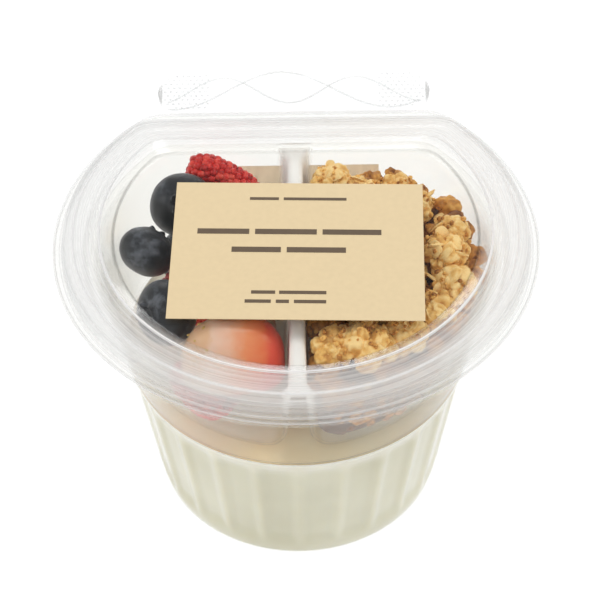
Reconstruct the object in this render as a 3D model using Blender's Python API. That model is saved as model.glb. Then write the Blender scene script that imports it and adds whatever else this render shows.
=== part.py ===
"""Yogurt parfait to go: a clear D-shaped cup of vanilla yogurt under a tray of berries and granola.

Millimetres are turned into metres by MM. The origin is the centre of the flat base, +Z is up,
and the straight side with the tear strip faces +Y. Touching pieces keep a gap of GAP.
"""
import bmesh
import bpy
import math
from mathutils import Euler, Matrix, Vector

MM = 0.001

# Driving dimensions.
RIM_RADIUS = 50 * MM
RIM_BACK = 39.4 * MM
RIM_HEIGHT = 66.5 * MM
SHEET = 0.5 * MM
THIN_SHEET = 0.4 * MM
GAP = 0.3 * MM

# Cup: fluted below the shoulder, smooth above it.
BASE_RADIUS = 31.3 * MM
BASE_BACK = 22.4 * MM
BASE_ROUNDING = 4 * MM
SHOULDER_RADIUS = 36.8 * MM
SHOULDER_BACK = 27 * MM
SHOULDER_HEIGHT = 38 * MM
MOUTH_RADIUS = 41.5 * MM
MOUTH_BACK = 30.6 * MM
MOUTH_HEIGHT = 63 * MM
LEDGE_WIDTH = 1.7 * MM
FLUTES = 18
FLUTE_DEPTH = 0.7 * MM
POINTS_PER_FLUTE = 3

# Lid: a recessed panel inside a raised crown, above a flange like the cup's.
PANEL_RADIUS = 37.45 * MM
PANEL_BACK = 24.1 * MM
PANEL_RISE = 2.7 * MM
CROWN_INNER_RADIUS = 40.25 * MM
CROWN_INNER_BACK = 26.9 * MM
CROWN_OUTER_RADIUS = 45.6 * MM
CROWN_OUTER_BACK = 32 * MM
CROWN_RISE = 4.4 * MM
SKIRT_RADIUS = 48.1 * MM
SKIRT_BACK = 34.8 * MM

# Tear strip behind the flanges.
STRIP_HALF_WIDTH = 29.8 * MM
STRIP_REACH = 53.3 * MM
STRIP_CORNER = 6.5 * MM

# Tray: two pockets hanging from one flange.
TRAY_FLANGE_RADIUS = 42.4 * MM
TRAY_FLANGE_BACK = 31.5 * MM
TRAY_TOP = 64.6 * MM
TRAY_BOTTOM = 41 * MM
POCKET_TOP_RADIUS = 40.5 * MM
POCKET_TOP_BACK = 29.6 * MM
POCKET_BOTTOM_RADIUS = 35.6 * MM
POCKET_BOTTOM_BACK = 25.2 * MM
DIVIDER_TOP_WIDTH = 3 * MM
DIVIDER_BOTTOM_WIDTH = 5.4 * MM
POCKET_CORNER = 3.5 * MM
POCKET_ROUNDING = 2 * MM

YOGURT_LEVEL = SHOULDER_HEIGHT + 0.2 * MM

# Paper labels.
LABEL_LONG = 51.2 * MM
LABEL_SHORT = 39 * MM
PAPER = 0.15 * MM
LABEL_TURN = math.radians(-1.9)
BACK_LABEL_WIDTH = 38 * MM
BACK_LABEL_TOP = 59 * MM
BACK_LABEL_HEIGHT = 50.8 * MM

DEE_CORNER = 6 * MM
RIM_CORNER = 8 * MM
CORNER_STEPS = 3
BLUEBERRY_SIDES = 12
RASPBERRY_SIDES = 13
STRAWBERRY_SIDES = 9
GOLDEN_ANGLE = math.radians(137.5)

# Berries: centre in mm, half-sizes in mm, and turns about X, Y and Z in degrees.
BLUEBERRIES = [
    ((-23.9, 15.4, 62.0), 6.9, (44, 0, 10)),
    ((-31.2, 3.0, 60.5), 5.9, (70, 0, 150)),
    ((-26.4, -14.4, 60.4), 6.8, (33, -64, 0)),
    ((-9.2, 8.2, 61.0), 6.2, (15, 20, 0)),
    ((-10.0, -6.0, 61.4), 6.0, (-30, 10, 60)),
    ((-23.5, 14.5, 48.4), 6.5, (100, 0, 30)),
    ((-9.4, 16.6, 48.2), 6.4, (60, 40, 0)),
]
RASPBERRIES = [
    ((-15.3, 24.1, 61.2), (4.0, 3.8, 8.4), (0, -70, -10)),
    ((-22.5, 0.5, 50.2), (7.8, 6.4, 7.4), (0, 80, 30)),
    ((-19.6, -23.2, 47.6), (5.4, 5.2, 7.6), (0, 90, -40)),
]
STRAWBERRIES = [
    ((-13.0, -24.2, 54.4), (21.4, 14.8, 13.0), (0, 0, 3)),
    ((-10.0, -5.6, 42.3), (15.0, 11.6, 11.4), (0, 0, 95)),
]

# Granola: level of the filling, then the clusters on top of it as x, y, peak and half-width in mm.
GRANOLA_LEVEL = 58.5 * MM
GRANOLA_CLUSTERS = [
    (7.6, -26.5, 66.2, 4.8), (14.5, -27, 67.2, 5.6), (21.5, -23, 65.6, 4.8), (28, -16, 65.2, 4.8),
    (32.4, -9, 66.0, 4.8), (30.5, -1.5, 67.6, 5.0), (32.4, 5, 66.2, 4.2), (25, 13.5, 65.2, 4.6),
    (21.5, 20.5, 63.6, 4.6), (13.5, 18.5, 64.2, 5.6), (7.6, 22, 65.0, 4.6), (18.5, 9, 65.0, 5.8),
    (8.6, 9.5, 65.2, 6.0), (21, -5.5, 65.8, 6.4), (10, -4, 65.6, 6.8), (14.5, -15, 65.4, 6.8),
]


def clear_scene():
    for existing in list(bpy.data.objects):
        bpy.data.objects.remove(existing)


def material(name, colour, roughness, transmission=0.0):
    made = bpy.data.materials.new(name)
    made.use_nodes = True
    shader = made.node_tree.nodes["Principled BSDF"]
    shader.inputs["Base Color"].default_value = (*colour, 1)
    shader.inputs["Roughness"].default_value = roughness
    shader.inputs["Transmission Weight"].default_value = transmission
    return made


def add_object(name, mesh, finish=None):
    """Close off a bmesh as a named, outward-facing, smooth-shaded object."""
    bmesh.ops.recalc_face_normals(mesh, faces=mesh.faces)
    data = bpy.data.meshes.new(name)
    mesh.to_mesh(data)
    mesh.free()
    data.shade_smooth()
    data.set_sharp_from_angle(angle=math.radians(40))
    made = bpy.data.objects.new(name, data)
    bpy.context.scene.collection.objects.link(made)
    if finish:
        data.materials.append(finish)
    return made


def loft(name, rings, finish=None):
    """A closed solid through rings of equally many points, capped at both ends."""
    mesh = bmesh.new()
    loops = [[mesh.verts.new(point) for point in ring] for ring in rings]
    for first, second in zip(loops, loops[1:]):
        for i in range(len(first)):
            mesh.faces.new((first[i - 1], first[i], second[i], second[i - 1]))
    mesh.faces.new(loops[0])
    mesh.faces.new(loops[-1])
    return add_object(name, mesh, finish)


def arc(centre, radius, start, end, steps):
    """Points on a horizontal arc, both ends included."""
    points = []
    for i in range(steps + 1):
        angle = start + (end - start) * i / steps
        points.append((centre[0] + radius * math.cos(angle), centre[1] + radius * math.sin(angle)))
    return points


def dee(radius, back, corner, steps, flute=0.0):
    """Circle cut straight at the back, clockwise from above, with rounded corners and pressed-in flutes."""
    corner_y = back - corner
    corner_x = math.sqrt((radius - corner) ** 2 - corner_y ** 2)
    turn = math.atan2(corner_y, corner_x)
    round_side = arc((0, 0), radius, turn, -math.pi - turn, steps)
    for i, (x, y) in enumerate(round_side):
        if i % POINTS_PER_FLUTE:
            pressed = 1 - flute / radius
            round_side[i] = (x * pressed, y * pressed)
    left = arc((-corner_x, corner_y), corner, math.pi - turn, math.pi / 2, CORNER_STEPS)
    right = arc((corner_x, corner_y), corner, math.pi / 2, turn, CORNER_STEPS)
    return round_side + left[1:] + right[:-1]


def raise_to(outline, height):
    return [(x, y, height) for x, y in outline]


def dee_ring(radius, back, height, corner, steps, flute=0.0):
    return raise_to(dee(radius, back, corner, steps, flute), height)


def cup_wall(height):
    """Outer radius and back of the cup's wall at a height between its rounding and its mouth."""
    if height < SHOULDER_HEIGHT:
        share = (height - BASE_ROUNDING) / (SHOULDER_HEIGHT - BASE_ROUNDING)
        start, end = (BASE_RADIUS, BASE_BACK), (SHOULDER_RADIUS - SHEET, SHOULDER_BACK - SHEET)
    else:
        share = (height - SHOULDER_HEIGHT) / (MOUTH_HEIGHT - SHOULDER_HEIGHT)
        start, end = (SHOULDER_RADIUS, SHOULDER_BACK), (MOUTH_RADIUS, MOUTH_BACK)
    return tuple(a + (b - a) * share for a, b in zip(start, end))


def cup_profile():
    """Stations of the cup's outer face from the base up to its mouth: radius, back, height, flute."""
    rounding = BASE_ROUNDING
    stations = [
        (BASE_RADIUS - 0.95 * rounding, BASE_BACK - 0.95 * rounding, 0, 0),
        (BASE_RADIUS - 0.27 * rounding, BASE_BACK - 0.27 * rounding, 0.27 * rounding, 0),
    ]
    for height, flute in ((rounding, 0.0), (7 * MM, 1.0), (31 * MM, 1.0), (36.6 * MM, 0.0)):
        stations.append((*cup_wall(height), height, flute * FLUTE_DEPTH))
    for height in (SHOULDER_HEIGHT, MOUTH_HEIGHT):
        stations.append((*cup_wall(height), height, 0))
    return stations


def make_cup(finish):
    steps = FLUTES * POINTS_PER_FLUTE
    outside = cup_profile()
    ledge_top = MOUTH_HEIGHT + 0.4 * MM
    flange_top = RIM_HEIGHT - 0.6 * MM
    rim = [
        (MOUTH_RADIUS + LEDGE_WIDTH, MOUTH_BACK + LEDGE_WIDTH, ledge_top, 0),
        (MOUTH_RADIUS + LEDGE_WIDTH + 0.6 * MM, MOUTH_BACK + LEDGE_WIDTH + 0.6 * MM, flange_top - SHEET, 0),
        (RIM_RADIUS, RIM_BACK, flange_top - SHEET, 0),
        (RIM_RADIUS, RIM_BACK, flange_top, 0),
        (MOUTH_RADIUS + LEDGE_WIDTH + 0.2 * MM, MOUTH_BACK + LEDGE_WIDTH + 0.2 * MM, flange_top, 0),
        (MOUTH_RADIUS + LEDGE_WIDTH - 0.4 * MM, MOUTH_BACK + LEDGE_WIDTH - 0.4 * MM, ledge_top + SHEET, 0),
    ]
    inside = [(r - SHEET, b - SHEET, z + (SHEET if z in (0, MOUTH_HEIGHT) else 0), f) for r, b, z, f in outside]
    rings = []
    for radius, back, height, flute in outside + rim + inside[::-1]:
        corner = RIM_CORNER if radius == RIM_RADIUS else DEE_CORNER
        rings.append(dee_ring(radius, back, height, corner, steps, flute))
    return loft("cup", rings, finish)


def make_yogurt(finish):
    """Fills the cup to its level, a gap inside the wall."""
    steps = FLUTES * POINTS_PER_FLUTE
    inset = SHEET + 1.2 * GAP
    rings = []
    for radius, back, height, flute in cup_profile():
        if height < YOGURT_LEVEL:
            level = height + inset * max(0, 1 - height / BASE_ROUNDING)
            rings.append(dee_ring(radius - inset, back - inset, level, DEE_CORNER, steps, flute))
    return loft("yogurt", rings, finish)


def make_lid(finish):
    crown = RIM_HEIGHT + CROWN_RISE
    panel = RIM_HEIGHT + PANEL_RISE
    flange = RIM_HEIGHT + 0.2 * MM
    lean = 0.4 * MM
    top = [
        (PANEL_RADIUS, PANEL_BACK, panel),
        (CROWN_INNER_RADIUS, CROWN_INNER_BACK, crown),
        (CROWN_OUTER_RADIUS, CROWN_OUTER_BACK, crown - lean),
        (SKIRT_RADIUS - lean, SKIRT_BACK - lean, crown - 1.4 * MM),
        (SKIRT_RADIUS, SKIRT_BACK, flange),
        (RIM_RADIUS, RIM_BACK, flange),
    ]
    under = [
        (RIM_RADIUS, RIM_BACK, flange - SHEET),
        (SKIRT_RADIUS - SHEET, SKIRT_BACK - SHEET, flange - SHEET),
        (SKIRT_RADIUS - lean - SHEET, SKIRT_BACK - lean - SHEET, crown - 1.4 * MM - lean),
        (CROWN_OUTER_RADIUS - 0.2 * MM, CROWN_OUTER_BACK - 0.2 * MM, crown - lean - SHEET),
        (CROWN_INNER_RADIUS + 0.2 * MM, CROWN_INNER_BACK + 0.2 * MM, crown - SHEET),
        (PANEL_RADIUS + 0.2 * MM, PANEL_BACK + 0.2 * MM, panel - SHEET),
    ]
    rings = []
    for radius, back, height in top + under:
        corner = RIM_CORNER if radius == RIM_RADIUS else DEE_CORNER
        rings.append(dee_ring(radius, back, height, corner, 30))
    return loft("lid", rings, finish)


def guide(made):
    """Mark an object as a cutting or joining guide, which isn't part of the model."""
    made.hide_render = True
    made.display_type = "WIRE"
    return made


def combine(base, guides, operation):
    for other in guides:
        change = base.modifiers.new(other.name, "BOOLEAN")
        change.object = guide(other)
        change.operation = operation
        change.solver = "EXACT"


def box(name, low, high, finish=None):
    mesh = bmesh.new()
    bmesh.ops.create_cube(mesh, size=1)
    size = Vector(high) - Vector(low)
    centre = (Vector(high) + Vector(low)) / 2
    bmesh.ops.transform(mesh, matrix=Matrix.Translation(centre) @ Matrix.Diagonal((*size, 1)), verts=mesh.verts)
    return add_object(name, mesh, finish)


def make_tear_strip(finish):
    """A band folded in two along its outer edge, with rounded ends."""
    low = RIM_BACK + GAP
    corner = STRIP_CORNER
    x = STRIP_HALF_WIDTH - corner
    outline = []
    for centre, start in (((x, STRIP_REACH - corner), 90), ((x, low + corner), 0),
                          ((-x, low + corner), -90), ((-x, STRIP_REACH - corner), -180)):
        outline += arc(centre, corner, math.radians(start), math.radians(start - 90), 5)
    lower, upper = RIM_HEIGHT - 1.1 * MM, RIM_HEIGHT + 0.2 * MM
    strip = loft("tear_strip", [raise_to(outline, lower), raise_to(outline, upper)], finish)
    fold = STRIP_REACH - SHEET
    slot = box("strip_slot", (-RIM_RADIUS, 0, lower + SHEET), (RIM_RADIUS, fold, upper - SHEET))
    combine(strip, [slot], "DIFFERENCE")
    return strip


def pocket_outline(radius, back, inner_x, steps=12):
    """Right half of a D with all its corners rounded, clockwise from above."""
    corner, small = DEE_CORNER, POCKET_CORNER
    corner_y = back - corner
    corner_x = math.sqrt((radius - corner) ** 2 - corner_y ** 2)
    turn = math.atan2(corner_y, corner_x)
    front_x = inner_x + small
    front_y = -math.sqrt((radius - small) ** 2 - front_x ** 2)
    front_turn = math.atan2(front_y, front_x)
    outline = arc((corner_x, corner_y), corner, math.pi / 2, turn, CORNER_STEPS)
    outline += arc((0, 0), radius, turn, front_turn, steps)[1:]
    outline += arc((front_x, front_y), small, front_turn, -math.pi, CORNER_STEPS)[1:]
    outline += arc((front_x, back - small), small, -math.pi, -1.5 * math.pi, CORNER_STEPS)
    return outline


def pocket_ring(height, inset):
    """Outline of a pocket's wall at a height, moved inwards by an inset."""
    share = (height - TRAY_BOTTOM - POCKET_ROUNDING) / (TRAY_TOP - TRAY_BOTTOM - POCKET_ROUNDING)
    share = max(0, share)
    radius = POCKET_BOTTOM_RADIUS + (POCKET_TOP_RADIUS - POCKET_BOTTOM_RADIUS) * share
    back = POCKET_BOTTOM_BACK + (POCKET_TOP_BACK - POCKET_BOTTOM_BACK) * share
    inner_x = (DIVIDER_BOTTOM_WIDTH + (DIVIDER_TOP_WIDTH - DIVIDER_BOTTOM_WIDTH) * share) / 2 - THIN_SHEET
    return raise_to(pocket_outline(radius - inset, back - inset, inner_x + inset), height)


def pocket_rings(inset, top):
    """Rings from a pocket's floor, through its rounded foot, up its wall to the top."""
    floor = TRAY_BOTTOM + inset
    return [
        pocket_ring(floor, inset + POCKET_ROUNDING),
        raise_to([point[:2] for point in pocket_ring(floor, inset + 0.25 * POCKET_ROUNDING)],
                 floor + 0.35 * POCKET_ROUNDING),
        pocket_ring(floor + POCKET_ROUNDING, inset),
        pocket_ring(top, inset),
    ]


def pocket(name, side, inset, top):
    """One pocket as a solid: its outer form, or with an inset its hollow. side is 1 or -1."""
    return loft(name, [[(side * x, y, z) for x, y, z in ring] for ring in pocket_rings(inset, top)])


def make_tray(finish):
    flange = (TRAY_TOP - THIN_SHEET, TRAY_TOP)
    rings = [dee_ring(TRAY_FLANGE_RADIUS, TRAY_FLANGE_BACK, height, DEE_CORNER, 36) for height in flange]
    tray = loft("tray", rings, finish)
    sides = (("left", -1), ("right", 1))
    above = TRAY_TOP - 0.5 * THIN_SHEET
    combine(tray, [pocket(f"pocket_{name}_outside", side, 0, above) for name, side in sides], "UNION")
    combine(tray, [pocket(f"pocket_{name}_hollow", side, THIN_SHEET, TRAY_TOP + MM) for name, side in sides],
            "DIFFERENCE")
    return tray


def place(made, centre, turns):
    made.location = [value * MM for value in centre]
    made.rotation_euler = Euler([math.radians(angle) for angle in turns])


def turned(name, profile, sides, finish, bump=None):
    """A round solid from a profile of (radius, height) that starts and ends on its axis."""
    mesh = bmesh.new()
    loops = []
    for row, (radius, height) in enumerate(profile[1:-1]):
        loop = []
        for i in range(sides):
            angle = 2 * math.pi * i / sides
            reach = radius * (bump(row, i) if bump else 1)
            loop.append(mesh.verts.new((reach * math.cos(angle), reach * math.sin(angle), height)))
        loops.append(loop)
    for first, second in zip(loops, loops[1:]):
        for i in range(sides):
            mesh.faces.new((first[i - 1], first[i], second[i], second[i - 1]))
    for loop, (_, height) in ((loops[0], profile[0]), (loops[-1], profile[-1])):
        pole = mesh.verts.new((0, 0, height))
        for i in range(sides):
            mesh.faces.new((loop[i - 1], loop[i], pole))
    return add_object(name, mesh, finish)


def make_blueberry(name, centre, radius, turns, finish):
    """A slightly flat ball with the dimpled crown of its flower end on top."""
    outline = [(0, -0.80), (0.50, -0.71), (0.86, -0.42), (1, 0), (0.88, 0.42), (0.56, 0.70),
               (0.34, 0.82), (0.20, 0.66), (0, 0.62)]
    profile = [(r * radius * MM, z * radius * MM) for r, z in outline]
    place(turned(name, profile, BLUEBERRY_SIDES, finish), centre, turns)


def make_raspberry(name, centre, half_sizes, turns, finish):
    """A blunt cone of staggered drupelets with the hollow of its core at one end."""
    outline = [(0, -1.0), (0.36, -0.93), (0.64, -0.68), (0.84, -0.32), (0.97, 0.05), (1, 0.40),
               (0.88, 0.74), (0.54, 0.96), (0.26, 0.80), (0, 0.35)]
    rows = len(outline) - 4

    def bump(row, i):
        return 0.84 if (row + i) % 2 and row < rows else 1

    made = turned(name, outline, RASPBERRY_SIDES, finish, bump)
    scale = Matrix.Diagonal((*(size * MM for size in half_sizes), 1))
    made.data.transform(scale)
    place(made, centre, turns)


def strawberry_swell(share):
    """How full a strawberry is at a share of its length from its hull end: blunt at both ends."""
    return (1 - abs(2 * share ** 1.05 - 1) ** 3) ** (1 / 2.2)


def make_strawberry(name, centre, sizes, turns, finish):
    """Half a strawberry on its cut face, its hull end at -X and its tip at +X."""
    length, width, height = (size * MM for size in sizes)
    rings = []
    for step in range(STRAWBERRY_SIDES + 1):
        share = 0.015 + 0.97 * step / STRAWBERRY_SIDES
        swell = strawberry_swell(share)
        ring = []
        for i in range(STRAWBERRY_SIDES + 1):
            angle = math.pi * i / STRAWBERRY_SIDES
            ring.append(((share - 0.5) * length, 0.5 * width * swell * math.cos(angle),
                         height * swell * math.sin(angle)))
        rings.append(ring)
    place(loft(name, rings, finish), centre, turns)


def make_granola(finish):
    """A filling of the right pocket, joined with the lumpy clusters on top of it."""
    heap = loft("granola", pocket_rings(THIN_SHEET + 1.3 * GAP, GRANOLA_LEVEL), finish)
    clusters = []
    for number, (x, y, peak, half_width) in enumerate(GRANOLA_CLUSTERS, start=1):
        mesh = bmesh.new()
        bmesh.ops.create_icosphere(mesh, subdivisions=2, radius=half_width * MM)
        half_height = 0.85 * half_width
        shape = Matrix.Diagonal((1.1, 0.95, half_height / half_width, 1))
        turn = Matrix.Rotation(number * GOLDEN_ANGLE, 4, "Z")
        bmesh.ops.transform(mesh, matrix=turn @ shape, verts=mesh.verts)
        cluster = add_object(f"cluster_{number}", mesh)
        cluster.location = (x * MM, y * MM, (peak - half_height) * MM)
        clusters.append(cluster)
    combine(heap, clusters, "UNION")


def make_labels(finish):
    panel = RIM_HEIGHT + PANEL_RISE
    top = box("top_label", (-LABEL_LONG / 2, -LABEL_SHORT / 2, 0), (LABEL_LONG / 2, LABEL_SHORT / 2, PAPER), finish)
    top.location = (0.3 * MM, -6 * MM, panel + GAP)
    top.rotation_euler = (0, 0, LABEL_TURN)
    height = BACK_LABEL_HEIGHT
    back = box("back_label", (-BACK_LABEL_WIDTH / 2, 0, -height), (BACK_LABEL_WIDTH / 2, PAPER, 0), finish)
    _, wall_top = cup_wall(BACK_LABEL_TOP)
    _, wall_low = cup_wall(BACK_LABEL_TOP - height)
    back.location = (-0.8 * MM, wall_top + 1.1 * GAP, BACK_LABEL_TOP)
    back.rotation_euler = (-math.atan2(wall_top - wall_low, height), 0, 0)


def build():
    clear_scene()
    clear_plastic = material("clear_plastic", (0.93, 0.95, 0.95), 0.05, 1.0)
    make_cup(clear_plastic)
    make_lid(clear_plastic.copy())
    make_tear_strip(clear_plastic.copy())
    make_tray(clear_plastic.copy())
    make_yogurt(material("yogurt", (0.90, 0.88, 0.78), 0.35))
    make_labels(material("label_paper", (0.80, 0.63, 0.38), 0.6))
    berry_kinds = (
        ("blueberry", BLUEBERRIES, make_blueberry, material("blueberry", (0.03, 0.04, 0.07), 0.45)),
        ("raspberry", RASPBERRIES, make_raspberry, material("raspberry", (0.50, 0.02, 0.03), 0.35)),
        ("strawberry", STRAWBERRIES, make_strawberry, material("strawberry", (0.75, 0.16, 0.10), 0.30)),
    )
    for kind, places, make, finish in berry_kinds:
        for number, (centre, size, turns) in enumerate(places, start=1):
            make(f"{kind}_{number}", centre, size, turns, finish)
    make_granola(material("granola", (0.52, 0.30, 0.11), 0.75))


build()
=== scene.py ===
"""Looks of the yogurt parfait to go: detailed pieces, materials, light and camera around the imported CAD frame.

Lengths are in millimetres. They become metres where a mesh, a light or the camera is made.
"""
import math
import random

import bmesh
import bpy
from mathutils import Euler, Matrix, Vector, geometry, noise


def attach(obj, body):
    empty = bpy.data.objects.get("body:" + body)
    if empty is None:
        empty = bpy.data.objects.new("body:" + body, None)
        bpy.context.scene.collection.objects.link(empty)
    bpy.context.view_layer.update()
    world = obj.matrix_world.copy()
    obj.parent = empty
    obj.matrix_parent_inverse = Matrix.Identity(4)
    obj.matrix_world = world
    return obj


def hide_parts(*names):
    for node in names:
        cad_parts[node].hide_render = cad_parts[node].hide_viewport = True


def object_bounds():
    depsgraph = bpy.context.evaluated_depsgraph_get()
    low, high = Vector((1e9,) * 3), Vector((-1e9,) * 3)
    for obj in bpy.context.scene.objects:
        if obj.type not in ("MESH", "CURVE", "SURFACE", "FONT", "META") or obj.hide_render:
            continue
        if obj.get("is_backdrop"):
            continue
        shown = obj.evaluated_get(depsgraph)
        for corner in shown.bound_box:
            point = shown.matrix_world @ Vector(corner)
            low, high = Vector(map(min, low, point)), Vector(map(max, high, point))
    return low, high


MM = 0.001
ROOT = "root"

# Main dimensions, the same as the CAD part's.
RIM_RADIUS, RIM_BACK, RIM_HEIGHT = 50, 39.4, 66.5
BASE_RADIUS, BASE_BACK, BASE_ROUNDING = 31.3, 22.4, 4
SHOULDER_RADIUS, SHOULDER_BACK, SHOULDER_HEIGHT = 36.8, 27, 38
MOUTH_RADIUS, MOUTH_BACK, MOUTH_HEIGHT = 41.5, 30.6, 63
LEDGE_WIDTH = 1.7
FLUTES, FLUTE_DEPTH, FLUTE_LOW, FLUTE_TOP = 18, 0.7, 5, 36.4
SHEET, THIN_SHEET = 0.5, 0.4
PANEL_RADIUS, PANEL_BACK, PANEL_RISE = 37.45, 24.1, 2.7
CROWN_INNER_RADIUS, CROWN_INNER_BACK = 40.25, 26.9
CROWN_OUTER_RADIUS, CROWN_OUTER_BACK, CROWN_RISE = 45.6, 32, 4.4
SKIRT_RADIUS, SKIRT_BACK = 48.1, 34.8
STRIP_HALF_WIDTH, STRIP_LOW, STRIP_REACH, STRIP_CORNER = 29.8, 39.7, 53.3, 6.5
# Weld waves across the strip: period, height and the place of a crest.
WAVES = ((47, 6.0, -2.7), (29, 4.2, 13.6))
TRAY_FLANGE_RADIUS, TRAY_FLANGE_BACK, TRAY_TOP, TRAY_BOTTOM = 42.4, 31.5, 64.6, 41
POCKET_TOP_RADIUS, POCKET_TOP_BACK = 40.5, 29.6
POCKET_BOTTOM_RADIUS, POCKET_BOTTOM_BACK = 35.6, 25.2
DIVIDER_TOP_WIDTH, DIVIDER_BOTTOM_WIDTH = 3, 5.4
POCKET_CORNER, POCKET_ROUNDING = 3.5, 2
DEE_CORNER, RIM_CORNER = 6, 8
YOGURT_LEVEL = 38.2
LABEL_LONG, LABEL_SHORT, LABEL_TURN = 51.2, 39, math.radians(-1.9)
LABEL_CENTRE = Vector((0.3, -6, RIM_HEIGHT + PANEL_RISE + 0.45))

# How finely the D-shaped outlines are cut.
ROUND_STEPS, CORNER_STEPS, FLAT_STEPS = 288, 8, 12

# Berries, the same as the CAD part's: centre, half-size or sizes, and turns about X, Y and Z in degrees.
BLUEBERRIES = [
    ((-23.9, 15.4, 62.0), 6.9, (44, 0, 10)),
    ((-31.2, 3.0, 60.5), 5.9, (70, 0, 150)),
    ((-26.4, -14.4, 60.4), 6.8, (33, -64, 0)),
    ((-9.2, 8.2, 61.0), 6.2, (15, 20, 0)),
    ((-10.0, -6.0, 61.4), 6.0, (-30, 10, 60)),
    ((-23.5, 14.5, 48.4), 6.5, (100, 0, 30)),
    ((-9.4, 16.6, 48.2), 6.4, (60, 40, 0)),
]
RASPBERRIES = [
    ((-15.3, 24.1, 61.2), (4.0, 3.8, 8.4), (0, -70, -10)),
    ((-22.5, 0.5, 50.2), (7.8, 6.4, 7.4), (0, 80, 30)),
    ((-19.6, -23.2, 47.6), (5.4, 5.2, 7.6), (0, 90, -40)),
]
STRAWBERRIES = [
    ((-13.0, -24.2, 54.4), (21.4, 14.8, 13.0), (0, 0, 3)),
    ((-10.0, -5.6, 42.3), (15.0, 11.6, 11.4), (0, 0, 95)),
]

# Granola clusters, the same as the CAD part's: x, y, peak and half-width.
GRANOLA_LEVEL = 58.5
GRANOLA_CLUSTERS = [
    (7.6, -26.5, 66.2, 4.8), (14.5, -27, 67.2, 5.6), (21.5, -23, 65.6, 4.8), (28, -16, 65.2, 4.8),
    (32.4, -9, 66.0, 4.8), (30.5, -1.5, 67.6, 5.0), (32.4, 5, 66.2, 4.2), (25, 13.5, 65.2, 4.6),
    (21.5, 20.5, 63.6, 4.6), (13.5, 18.5, 64.2, 5.6), (7.6, 22, 65.0, 4.6), (18.5, 9, 65.0, 5.8),
    (8.6, 9.5, 65.2, 6.0), (21, -5.5, 65.8, 6.4), (10, -4, 65.6, 6.8), (14.5, -15, 65.4, 6.8),
]

# Camera: where it looks, from how far and how high, its roll, lens and sideways shift.
CAMERA_TARGET = Vector((0, 0, 48.55))
CAMERA_DISTANCE, CAMERA_ELEVATION, CAMERA_ROLL = 486.6, 46.27, -0.84
CAMERA_LENS, CAMERA_SHIFT = 138.2, 0.00525

# How bright the sky lights things, how bright it shows in gloss, and the light table's own glow.
SKY_LIGHT, SKY_REFLECTION, FLOOR_GLOW = 0.56, 0.3, 0.9


def colour(red, green, blue):
    """Linear colour from screen values of 0 to 255."""
    values = [value / 255 for value in (red, green, blue)]
    return tuple(v / 12.92 if v <= 0.04045 else ((v + 0.055) / 1.055) ** 2.4 for v in values)


class Shader:
    """A material whose nodes are made in short calls."""

    def __init__(self, name):
        self.material = bpy.data.materials.new(name)
        self.material.use_nodes = True
        self.tree = self.material.node_tree
        self.tree.nodes.clear()
        self.output = self.tree.nodes.new("ShaderNodeOutputMaterial")

    def add(self, kind, inputs=(), **settings):
        """A node of this kind. Inputs maps a socket's name or number to a value or to another node's socket."""
        node = self.tree.nodes.new("ShaderNode" + kind)
        for key, value in settings.items():
            setattr(node, key, value)
        for key, value in dict(inputs).items():
            if isinstance(value, bpy.types.NodeSocket):
                self.tree.links.new(value, node.inputs[key])
            else:
                node.inputs[key].default_value = value
        return node

    def maths(self, operation, first, second=0.0, clamp=False):
        return self.add("Math", {0: first, 1: second}, operation=operation, use_clamp=clamp).outputs[0]

    def blend(self, factor, first, second):
        """Colour between first and second."""
        node = self.add("Mix", data_type="RGBA")
        for socket, value in ((node.inputs[0], factor), (node.inputs[6], first), (node.inputs[7], second)):
            if isinstance(value, bpy.types.NodeSocket):
                self.tree.links.new(value, socket)
            else:
                socket.default_value = value if isinstance(value, float) else (*value, 1)
        return node.outputs[2]

    def ramp(self, factor, stops):
        """Colour from a factor through (place, colour) stops."""
        node = self.add("ValToRGB", {0: factor})
        elements = node.color_ramp.elements
        while len(elements) < len(stops):
            elements.new(0.5)
        for element, (place, tone) in zip(elements, stops):
            element.position = place
            element.color = (*tone, 1)
        return node.outputs[0]

    def noise(self, scale, detail=2.0, roughness=0.5, where=None):
        """Noise with features about 1000 / scale millimetres wide."""
        inputs = {"Scale": scale, "Detail": detail, "Roughness": roughness}
        inputs["Vector"] = where or self.place()
        return self.add("TexNoise", inputs).outputs[0]

    def place(self):
        return self.add("TexCoord").outputs["Object"]

    def attribute(self, name):
        return self.add("Attribute", attribute_name=name).outputs["Fac"]

    def bump(self, height, strength, distance_mm):
        inputs = {"Height": height, "Strength": strength, "Distance": distance_mm * MM}
        return self.add("Bump", inputs).outputs[0]

    def mix(self, factor, first, second):
        return self.add("MixShader", {0: factor, 1: first, 2: second}).outputs[0]

    def finish(self, surface):
        self.tree.links.new(surface, self.output.inputs["Surface"])
        return self.material


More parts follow.
